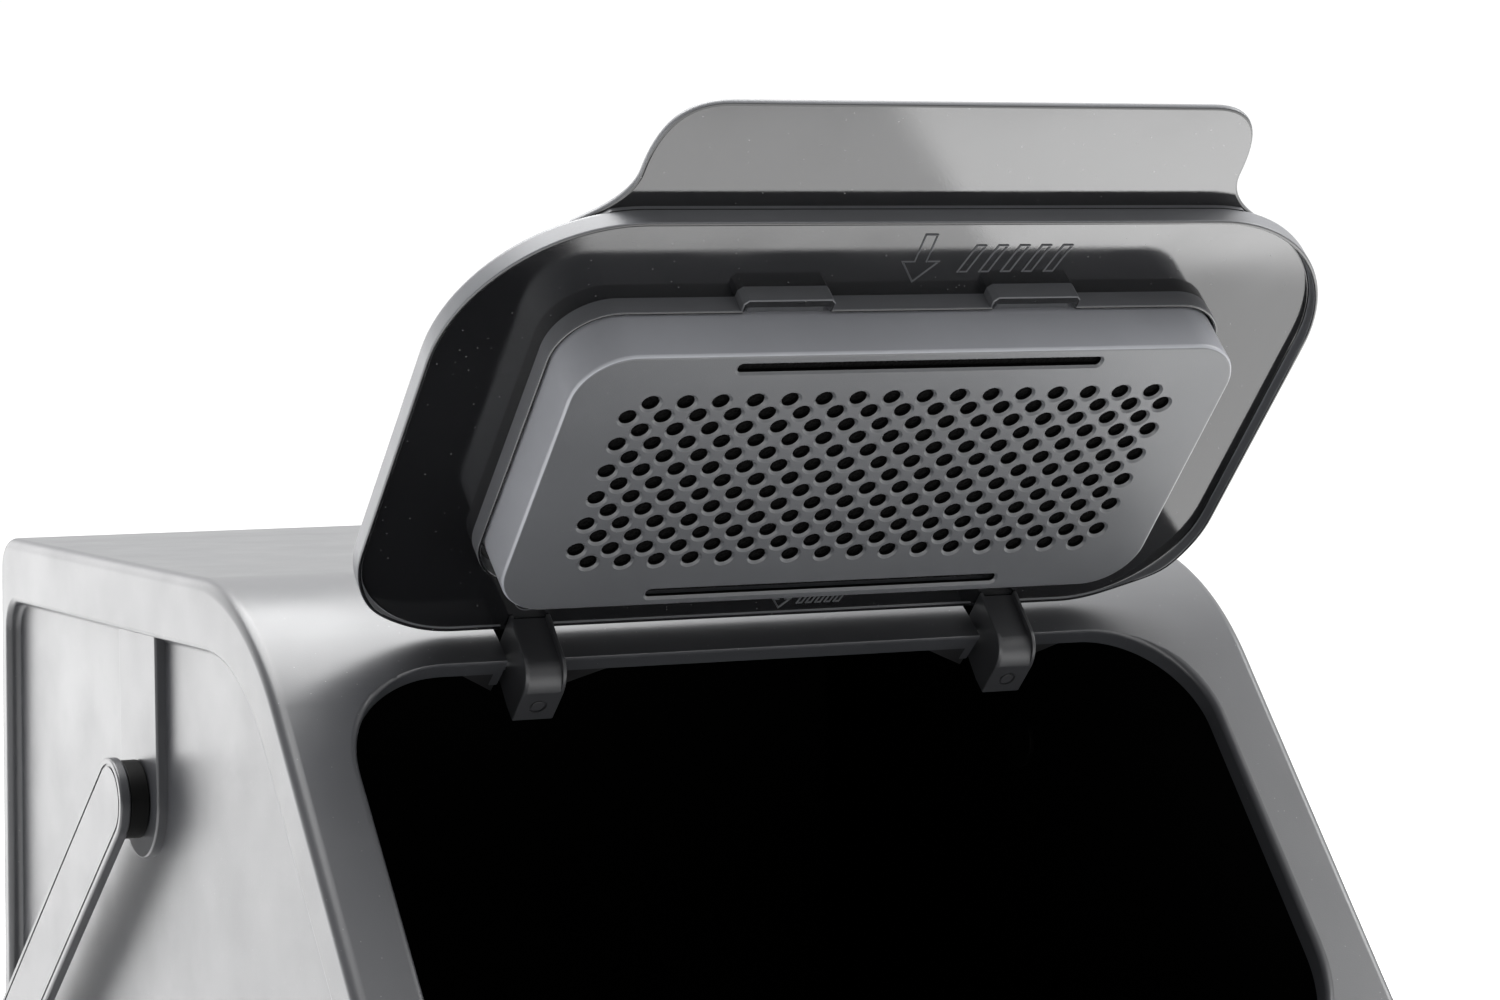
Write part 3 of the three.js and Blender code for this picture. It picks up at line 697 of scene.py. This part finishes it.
def cut_bores(body, sign):
    """The hinge notch, the hinge pin's bores and the handle's bore."""
    cut(body, hinge_notch(sign))
    ends = sorted((sign * (ARM_INNER_X - 12), sign * (ARM_OUTER_X + 12)))
    cut(body, rod(HINGE_PIN_RADIUS + RUNNING_GAP, *ends, (HINGE.y, HINGE.z), 0))
    bore = sorted((sign * (HOOD_HALF_WIDTH - 20), sign * (HOOD_HALF_WIDTH + 5)))
    cut(body, rod(HUB_BORE, *bore, (PIVOT.y, PIVOT.z), 0))


def hood():
    body = hood_block(0, HOOD_HALF_WIDTH, SIDE_EDGE_RADIUS, MATERIALS["hood"])
    cut(body, block((-300, -400, 0), (300, 400, HOOD_BASE)))
    for _, sign in SIDES:
        cut(body, side_recess(sign))
    cut(body, hood_hollow())
    for side, sign in SIDES:
        add_side_fittings(body, side, sign)
    add(body, entrance_rim())
    for _, sign in SIDES:
        add_hinge_ears(body, sign)
    entrance = swept(rounded_box(ENTRANCE, 24), recess(0, -40, ENTRANCE_LIP, 0, 30))
    cut(body, moved(entrance, SLOPE_FRAME))
    for _, sign in SIDES:
        cut_bores(body, sign)
    return shown(body, "hood_cover", "housing", ["hood_shell"])


# ---- Lid, in its own frame: x across, u from the hinge to the free edge, n out of the inner face ----


def lid_dish():
    """The panel with its upstanding rim. The rim is low beside the hinge."""
    edge = RIM_WALL / 2
    profile = [(-edge * 2, LID_OUTER)]
    profile += [(LID_EDGE * (math.sin(a) - 1), LID_OUTER + LID_EDGE * (1 - math.cos(a))) for a in quarter(5)]
    profile += [(-edge + edge * math.cos(a), LID_CREST - edge + edge * math.sin(a)) for a in quarter(4)]
    profile += [(-edge - edge * math.sin(a), LID_CREST - edge + edge * math.cos(a)) for a in quarter(4)]
    fillet = 1.0
    profile += [
        (-RIM_WALL - fillet * (1 - math.cos(a)), LID_INNER + fillet * (1 - math.sin(a))) for a in quarter(4)
    ]
    rings = []
    for growth, height in profile:
        ring = []
        for x, u in grown(rounded_box(LID, 26), growth):
            share = min(1, max(0, (u - LID["low"] - 3) / 18))
            share = share * share * (3 - 2 * share)
            crest = LID_HINGE_CREST + (LID_CREST - LID_HINGE_CREST) * share
            scale = (crest - LID_INNER) / (LID_CREST - LID_INNER)
            ring.append((x, u, LID_INNER + (height - LID_INNER) * scale if height > LID_INNER else height))
        rings.append(ring)
    return loft(rings)


def tab_outline():
    t = TAB
    waist = (t["waist_x"], t["waist"])
    root = (t["root_x"], t["root"])
    points = [root]
    points += s_curve(root, (root[0] - 10, root[1] + 6), (waist[0] + 0.5, waist[1] - 9), waist, 14)
    top = (t["top_x"], t["top"])
    points += s_curve(waist, (waist[0], waist[1] + 19), (top[0] + 16, top[1]), top, 16)
    return mirrored(points)


def tab():
    """The finger tab past the lid's free edge, and the strip that joins it to the lid."""
    blade = swept(tab_outline(), slab(TAB["outer"], TAB_INNER, 1.1))
    strip = swept(tab_outline(), [(-1.2, TAB["outer"] + 0.8), (-1.2, LID_OUTER + 1)])
    inside = swept(rounded_box(LID, 26), [(0.3, TAB["outer"] - 2), (0.3, 0)])
    return add(blade, common(strip, inside))


def frame_ring():
    """The thin raised ring round the cover, open inside each clip."""
    half = RING_WALL / 2
    profile = [(-RING_WALL, LID_INNER - 1), (0, LID_INNER - 1)]
    profile += [(-half + half * math.cos(a), RING_CREST - half + half * math.sin(a)) for a in quarter(4)]
    profile += [(-half - half * math.sin(a), RING_CREST - half + half * math.cos(a)) for a in quarter(4)[1:]]
    body = swept(rounded_box(FRAME_RING, 20), profile, True)
    for _, sign in SIDES:
        low, high = sorted((sign * (CLIP["inner"] + 0.6), sign * (CLIP["outer"] - 0.6)))
        cut(body, block((low, FRAME_RING["high"] - 3, LID_INNER - 2), (high, FRAME_RING["high"] + 1, 5)))
    return body


def clip(sign):
    """A pocket that holds one of the cover's lugs: a bent wall on three sides and a front plate."""
    c = CLIP
    corner = 1.6
    outer = [(c["inner"], c["foot"]), (c["inner"], c["back"] - corner), (c["inner"] + corner, c["back"])]
    outer += [(c["outer"] - corner, c["back"]), (c["outer"], c["back"] - corner), (c["outer"], c["foot"])]
    outer = [(sign * x, u) for x, u in (outer if sign < 0 else reversed(outer))]
    crest = c["crest"]
    body = swept(outer, [(0, LID_INNER - 1), (0, crest - 0.35), (-0.35, crest)])
    hollow = block(
        (c["inner"] + c["wall"], c["foot"] - 2, LID_INNER - 2),
        (c["outer"] - c["wall"], c["back"] - c["wall"], crest - c["wall"]),
    )
    mouth = block((c["inner"] + c["wall"], c["foot"] - 2, -5), (c["outer"] - c["wall"], c["mouth"], 3))
    for tool in (hollow, mouth):
        if sign < 0:
            tool.data.transform(Matrix.Scale(-1, 4, (1, 0, 0)))
            tool.data.flip_normals()
        cut(body, tool)
    return body


def stroke(points, width, height):
    """A raised ridge along an outline, standing on the lid's inner face."""
    root = LID_INNER - 0.2
    profile = [(0, root), (width, root), (width * 0.6, LID_INNER + height), (width * 0.4, LID_INNER + height)]
    return swept(points, profile, True)


def slanted_bar(x, u, width, height, lean):
    return [(x + lean, u + height), (x, u), (x + width, u), (x + width + lean, u + height)]


def marks():
    """An arrow and a row of plain slanted bars in outline, by the clips and again by the hinge."""
    lines = []
    for x, u, size in MARK_PLACES:
        arrow = [(-1.8, 20), (-1.8, 8), (-6, 8), (0, 0), (6, 8), (1.8, 8), (1.8, 20)]
        lines.append(stroke([(x + size * a, u + size * b) for a, b in arrow], MARK_WIDTH, MARK_HEIGHT))
        for k in range(5):
            bar = slanted_bar(x + size * (16 + 8.2 * k), u + size * 4, size * 2.6, size * 11, size * 3)
            lines.append(stroke(bar, MARK_WIDTH, MARK_HEIGHT))
    return joined(lines)


def paint_lit_walls(body, top, lit_walls):
    """Gives the faces that stand up from the lid's plane a rougher finish and a lighter colour; the lighter
    colour is painted light falling on those walls.
    """
    body.data.materials.clear()
    body.data.materials.append(top)
    body.data.materials.append(lit_walls)
    for face in body.data.polygons:
        face.material_index = 1 if abs(face.normal.z) < 0.8 else 0


def pip(sign):
    """The thin round ejector mark above each arm."""
    circle = arc((sign * PIP["x"], PIP["u"]), PIP["radius"], 0, 360, 32)[:-1]
    return stroke(circle, PIP["width"], PIP["height"])


def lid():
    body = lid_dish()
    add(body, tab())
    add(body, frame_ring())
    for _, sign in SIDES:
        add(body, clip(sign))
        low, high = sorted((sign * (ARM_INNER_X - 2), sign * (ARM_OUTER_X + 2)))
        cut(body, block((low, LID["low"] - 1, LID_INNER), (high, LID["low"] + 4, 10)))
    add(body, joined([marks(), pip(-1), pip(1)]))
    # The standing walls get the lighter material, which is painted light.
    paint_lit_walls(body, MATERIALS["lid"], MATERIALS["lid_painted_light_walls"])
    return shown(body, "lid_shell", "lid", ["lid_panel"], LID_FRAME)


def hinge_arm(side, sign):
    """A swan neck with two side flanges, a flat end plate and a round mark."""
    foot = LID_INNER + 0.3
    outline = [(4, foot), (16.2, foot), (14.9, 10.6)]
    outline += curve((14.9, 10.6), (13.4, ARM_PLATE), (3.8, ARM_PLATE), 16)
    outline += [(ARM_END, ARM_PLATE - 0.6), (ARM_END, 12), (-HUB_RADIUS, 1)]
    outline += arc((0, 0), HUB_RADIUS, 180 - 7.4, 261, 12)
    low, high = sorted((sign * ARM_INNER_X, sign * ARM_OUTER_X))
    body = across(outline, slab(low, high, 0.5), MATERIALS["arm"])
    channel = [(30, foot - 3), (30, 24), (6, 24), (3, 19.5)]
    channel += curve((3, 19.5), (11.6, 18.2), (12.9, 11), 16)
    channel += [(14.5, foot - 3)]
    cut(body, across(channel, [(0, low + ARM_FLANGE), (0, high - ARM_FLANGE)], MATERIALS["arm"]))
    place = ((low + high) / 2, ARM_MARK["u"])
    cut(body, rod(ARM_MARK["radius"], ARM_MARK["floor"], ARM_PLATE + 4.9, place, 2, 28))
    add(body, rod(ARM_MARK["button"], ARM_MARK["floor"] - 0.8, ARM_PLATE - 0.3, place, 2, 28, 0.2))
    cut(body, rod(HINGE_PIN_RADIUS + RUNNING_GAP, low - 1, high + 1, (0, 0), 0))
    name = "lid_arm_" + side
    return shown(body, name, "lid", ["hinge_arm_" + side], LID_FRAME)


# ---- Vented cover ----


def cover_shell():
    """Outside and inside of the cover as one skin, open towards the lid."""
    lean = COVER_DRAFT / (COVER_FACE - COVER_BASE)
    edge = COVER_EDGE
    inner_top = COVER_FACE - COVER_SKIN
    profile = [(-COVER_SKIN - 0.4, inner_top), (-COVER_SKIN, inner_top - 0.4), (-COVER_SKIN, COVER_BASE)]
    profile += [(-0.2, COVER_BASE), (0, COVER_BASE + 0.2)]
    profile += [(edge * (math.cos(a) - 1), COVER_FACE - edge + edge * math.sin(a)) for a in quarter(6)]
    rings = []
    for growth, height in profile:
        flare = (COVER_FACE - height) * lean
        rings.append([(x, u, height) for x, u in grown(rounded_box(COVER, 18), growth + flare)])
    return loft(rings)


def vent_outlines():
    """The round holes in offset rows, and the two slots."""
    outlines = []
    for row in range(HOLE_ROWS):
        count = 16 if row % 2 == 0 else 17
        u = HOLES_MIDDLE + (row - (HOLE_ROWS - 1) / 2) * HOLE_PITCH / 2
        for k in range(count):
            outlines.append(arc(((k - (count - 1) / 2) * HOLE_PITCH, u), HOLE_RADIUS, 0, 360, 20)[:-1])
    half = SLOT_HEIGHT / 2
    for u in SLOT_PLACES:
        slot = {"half": SLOT_HALF_WIDTH, "low": u - half, "high": u + half, "radius": half * 0.8}
        outlines.append(rounded_box(slot, 5))
    return outlines


def cut_vents(body):
    """Countersunk mouths in the cover's own plastic, then bores under them in a near-black material that
    paints the shade in the holes.
    """
    face = COVER_FACE
    mouth = [(-0.1, face - 0.9), (0.3, face - 0.6), (COUNTERSINK - 0.15, face - 0.1)]
    mouth += [(COUNTERSINK, face), (COUNTERSINK, face + 1)]
    bore = [(0, face - COVER_SKIN - 1), (0, face - 0.5)]
    for profile, material in ((mouth, MATERIALS["cover"]), (bore, MATERIALS["inside"])):
        cut(body, joined([swept(outline, profile, material=material) for outline in vent_outlines()]))


def vent_cover():
    body = cover_shell()
    for _, sign in SIDES:
        low, high = sorted((sign * LUG["inner"], sign * LUG["outer"]))
        add(body, block((low, COVER["high"] - 1.2, LUG["low"]), (high, LUG["tip"], LUG["high"])))
    # The standing walls get the lighter material, which is painted light.
    paint_lit_walls(body, MATERIALS["cover"], MATERIALS["cover_painted_light_walls"])
    cut_vents(body)
    return shown(body, "vent_cover_shell", "vent_cover", ["filter_cover"], LID_FRAME)


def filter_pad():
    top = COVER_FACE - COVER_SKIN - 0.3
    pad = swept(rounded_box(COVER, 10), slab_at(top - 9, top, -4.6, 1.2))
    nodes = ["carbon_filter_pad"]
    piece = shown(pad, "filter_foam_pad", "vent_cover", nodes, LID_FRAME, MATERIALS["foam"])
    return piece


def slab_at(low, high, growth, edge):
    return [(growth + g, height) for g, height in slab(low, high, edge)]


# ---- Carry handle, in its own frame: x across, y along the arms, z out of their plane ----


def bail_outline():
    half = BAIL_HALF_WIDTH
    end = BAIL_LENGTH
    points = arc((0, 0), half, 90, 270, 28)
    points += curve((end - 30, -half), (end - 10, -half), (end, -GRIP_RADIUS), 8)
    points += arc((end, 0), GRIP_RADIUS, -90, 90, 12)[1:-1]
    points += [(end, GRIP_RADIUS)]
    points += curve((end, GRIP_RADIUS), (end - 10, half), (end - 30, half), 8)
    return points


def bail():
    body = rod(GRIP_RADIUS, 1 - BAIL_OUTER_X, BAIL_OUTER_X - 1, (BAIL_LENGTH, 0), 0, 32)
    for _, sign in SIDES:
        low, high = sorted((sign * (BAIL_OUTER_X - BAIL_THICKNESS), sign * BAIL_OUTER_X))
        add(body, across(bail_outline(), slab(low, high, 0.8)))
        face = sign * BAIL_OUTER_X
        floor = face - sign * 0.5
        groove = [(-3.2, floor), (-3.2, face + sign), (-2.2, face + sign), (-2.2, floor)]
        rings = [[(x, y, z) for y, z in grown(bail_outline(), growth)] for growth, x in groove]
        cut(body, loft(rings, True))
    nodes = ["carry_handle"]
    return shown(body, "bail_handle", "handle", nodes, HANDLE_FRAME, MATERIALS["handle"])


def hub(side, sign):
    pad_face = HOOD_HALF_WIDTH - PANEL_DEPTH + BOSS_RISE
    inside = HOOD_HALF_WIDTH - PANEL_DEPTH - WALL
    stations = (
        (14.4, pad_face + 0.3, BAIL_OUTER_X - BAIL_THICKNESS - 0.3, 0.6),
        (9, inside - 1.5, pad_face + 1.3, 0),
        (10.6, inside - 2.7, inside - 0.5, 0.4),
    )
    body = None
    for radius, a, b, edge in stations:
        low, high = sorted((sign * a, sign * b))
        disc = rod(radius, low, high, (0, 0), 0, 48, edge)
        body = add(body, disc) if body else disc
    name = "pivot_hub_" + side
    # The hub's near-black material is painted shade.
    return shown(body, name, "handle", ["handle_hub_" + side], HANDLE_FRAME, MATERIALS["hub"])


# ---- Tray, feet and latches ----


def tray_ring(growth, height):
    """The tray's outline at a height, leaning in towards the floor."""
    box = {"half": TRAY["half"], "low": TRAY["front"], "high": TRAY["back"], "radius": TRAY["radius"]}
    lean = TRAY_TAPER * (RIM_TOP - height) / (RIM_TOP - TRAY_FLOOR)
    return [(x, y, height) for x, y in grown(rounded_box(box, 12), growth - lean)]


def tray():
    """The pan, the flange with its turned-down lip, and the upstand inside the hood."""
    bend = 6
    edge = 1.5
    lip_end = RIM_TOP - LIP_DROP
    outer = [(bend * (math.sin(a) - 1), TRAY_FLOOR + bend * (1 - math.cos(a))) for a in quarter(6)]
    body = loft([tray_ring(growth, height) for growth, height in outer + [(0, RIM_TOP - 1)]])
    rounded = [(edge * (math.cos(a) - 1), RIM_TOP - edge + edge * math.sin(a)) for a in quarter(4)]
    flange = swept(rounded_box(TRAY_RIM, 12), [(0, lip_end)] + rounded)
    under = [(-LIP_THICKNESS, lip_end - 1), (-LIP_THICKNESS, RIM_TOP - WALL)]
    cut(flange, swept(rounded_box(TRAY_RIM, 12), under))
    add(body, flange)
    top = RIM_TOP + UPSTAND_HEIGHT
    add(body, swept(rounded_box(UPSTAND, 12), [(0, RIM_TOP - 1), (0, top - 0.6), (-0.6, top)]))
    inner = [(growth - WALL, height + WALL) for growth, height in outer]
    cut(body, loft([tray_ring(growth, height) for growth, height in inner + [(-WALL, RIM_TOP + 20)]]))
    cut(body, swept(rounded_box(UPSTAND, 12), [(-LIP_THICKNESS, RIM_TOP), (-LIP_THICKNESS, RIM_TOP + 20)]))
    return shown(body, "tray_body", "housing", ["litter_tray"], material=MATERIALS["tray"])


def foot(end, side):
    low, high = (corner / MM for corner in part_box(f"foot_{end}_{side}"))
    centre = ((low.x + high.x) / 2, (low.y + high.y) / 2)
    radius = (high.x - low.x) / 2
    body = rod(radius, low.z, high.z, centre, 2, 40, 0.7)
    cut(body, rod(radius * 0.62, low.z - 1, low.z + 1, centre, 2, 40, 0.3))
    cad_name = f"foot_{end}_{side}"
    name = "rubber_" + cad_name
    return shown(body, name, "housing", [cad_name], material=MATERIALS["rubber"])


def latch(end, side, sign):
    """A clip with a hook under the tray's lip and four finger grooves."""
    joint = JOINTS[f"latch_hinge_{end}_{side}"]
    y = joint["pos_m"][1] / MM
    outer = LATCH_PIN_X + LATCH_HUB
    under = RIM_TOP - LIP_DROP - 0.4
    outline = [(outer, LATCH_PIN_Z)] + arc((LATCH_PIN_X, LATCH_PIN_Z), LATCH_HUB, 0, 270, 24)[1:]
    outline += [(LATCH_PIN_X, under), (188.8, under), (190.3, under - 3.4)]
    outline += [(LATCH_PIN_X, 104), (outer + 1.6, 102)]
    outline += [(outer + 1.6, 105), (outer, 110)]
    ys = (y - LATCH_WIDTH / 2, y + LATCH_WIDTH / 2)
    rings = [[(sign * x, along, z) for x, z in outline] for along in ys]
    body = loft(rings)
    place = (sign * LATCH_PIN_X, LATCH_PIN_Z)
    cut(body, rod(LATCH_BORE, y - LATCH_WIDTH, y + LATCH_WIDTH, place, 1, 20))
    for k in range(4):
        z = 112 + 3 * k
        xs = sorted((sign * (outer - 0.5), sign * (outer + 1)))
        cut(body, block((xs[0], y - 13, z - 0.6), (xs[1], y + 13, z + 0.6), 0.2))
    cad_name = f"latch_{end}_{side}"
    return shown(
        body, f"clip_{cad_name}", f"latch_body_{end}_{side}", [cad_name],
        material=MATERIALS["latch"],
    )


def carried_over():
    """The plain steel pins keep their CAD solids and get a metal finish."""
    for name, node in frame["nodes"].items():
        if "pin" in name:
            node.data.materials.clear()
            node.data.materials.append(MATERIALS["steel"])


# ---- Scene ----


def camera():
    """Looks at the open lid from the front left, almost level."""
    data = bpy.data.cameras.new("camera")
    data.lens = 98.85
    data.sensor_width = 36
    data.clip_end = 100
    item = bpy.data.objects.new("camera", data)
    forward = Vector((0.43437, 0.89888, -0.0583)).normalized()
    up = Vector((0.03253, 0.04901, 0.9983))
    right = forward.cross(up).normalized()
    up = right.cross(forward)
    turn = Matrix((right, up, -forward)).transposed().to_4x4()
    item.matrix_world = Matrix.Translation((-0.6405, -1.3605, 0.5094)) @ turn
    bpy.context.scene.collection.objects.link(item)
    bpy.context.scene.camera = item


def softbox(name, place, target, size, radiance):
    """A rectangular light that shines towards a target with an even brightness."""
    data = bpy.data.lights.new(name, "AREA")
    data.shape = "RECTANGLE"
    data.size, data.size_y = size
    data.energy = radiance * math.pi * size[0] * size[1]
    item = bpy.data.objects.new(name, data)
    aim = (Vector(target) - Vector(place)).to_track_quat("-Z", "Y").to_matrix().to_4x4()
    item.matrix_world = Matrix.Translation(place) @ aim
    item.visible_camera = False
    bpy.context.scene.collection.objects.link(item)


def sky():
    """A white studio, brighter behind the box and overhead than behind the camera or on the left."""
    world = bpy.data.worlds.new("studio")
    world.use_nodes = True
    tree = world.node_tree
    direction = tree.nodes.new("ShaderNodeTexCoord")
    split = tree.nodes.new("ShaderNodeSeparateXYZ")
    tree.links.new(direction.outputs["Generated"], split.inputs[0])
    behind = ranged(tree, split.outputs["Y"], 0.45, 1.06, -0.6, 0.2)
    overhead = ranged(tree, split.outputs["Z"], 0.0, 1.1, 0.2, 0.8)
    from_left = ranged(tree, split.outputs["X"], 0.4, 1.0, -0.7, 0.05)
    total = tree.nodes.new("ShaderNodeMath")
    total.operation = "ADD"
    tree.links.new(behind, total.inputs[0])
    tree.links.new(overhead, total.inputs[1])
    shaded = tree.nodes.new("ShaderNodeMath")
    shaded.operation = "MULTIPLY"
    tree.links.new(total.outputs[0], shaded.inputs[0])
    tree.links.new(from_left, shaded.inputs[1])
    background = tree.nodes["Background"]
    background.inputs["Color"].default_value = (1, 1, 1, 1)
    tree.links.new(shaded.outputs[0], background.inputs["Strength"])
    bpy.context.scene.world = world


def studio():
    """Soft boxes round the box, and two bright cards low on the slope that the lid reflects."""
    sky()
    bpy.context.scene.view_settings.view_transform = "Standard"
    softbox("side_box", (-1.15, 2.0, 0.7), (-0.19, 0.1, 0.3), (1.8, 2.0), 3.0)
    softbox("top_box", (-0.35, 0.35, 2.1), (-0.35, 0.0, 0), (2.0, 1.8), 11)
    softbox("right_box", (2.0, -0.6, 1.5), (0.1, -0.2, 0.4), (1.2, 1.2), 9)
    outwards = SLOPE_FRAME.to_3x3() @ Vector((0, 0, 1))
    for name, width, radiance in (("front_card", 500, 3.4), ("inner_card", HOOD_HALF_WIDTH, 2.8)):
        low_on_slope = SLOPE_FRAME @ Vector((width / 2, -278, 6)) * MM
        softbox(name, low_on_slope, low_on_slope + outwards, (width * MM, 0.124), radiance)


def paper_floor():
    mesh = bpy.data.meshes.new("floor")
    half = 12
    corners = [(-half, -half, 0), (half, -half, 0), (half, half, 0), (-half, half, 0)]
    mesh.from_pydata(corners, [], [(0, 1, 2, 3)])
    floor = bpy.data.objects.new("floor", mesh)
    material, tree, shader = node_tree("floor_paper")
    shade = textured(tree, "ShaderNodeTexNoise", 3, Detail=2)
    tone = ranged(tree, shade.outputs["Fac"], 0.0, 1.0)
    tree.links.new(mixed(tree, tone, (0.9, 0.9, 0.9), (0.92, 0.92, 0.92)), shader.inputs["Base Color"])
    shader.inputs["Roughness"].default_value = 0.9
    shader.inputs["Specular IOR Level"].default_value = 0.1
    mesh.materials.append(material)
    bpy.context.scene.collection.objects.link(floor)


camera()
studio()
paper_floor()
hood()
lid()
vent_cover()
filter_pad()
bail()
tray()
for side_name, side_sign in SIDES:
    hinge_arm(side_name, side_sign)
    hub(side_name, side_sign)
    for end_name in ("front", "rear"):
        latch(end_name, side_name, side_sign)
        foot(end_name, side_name)
carried_over()
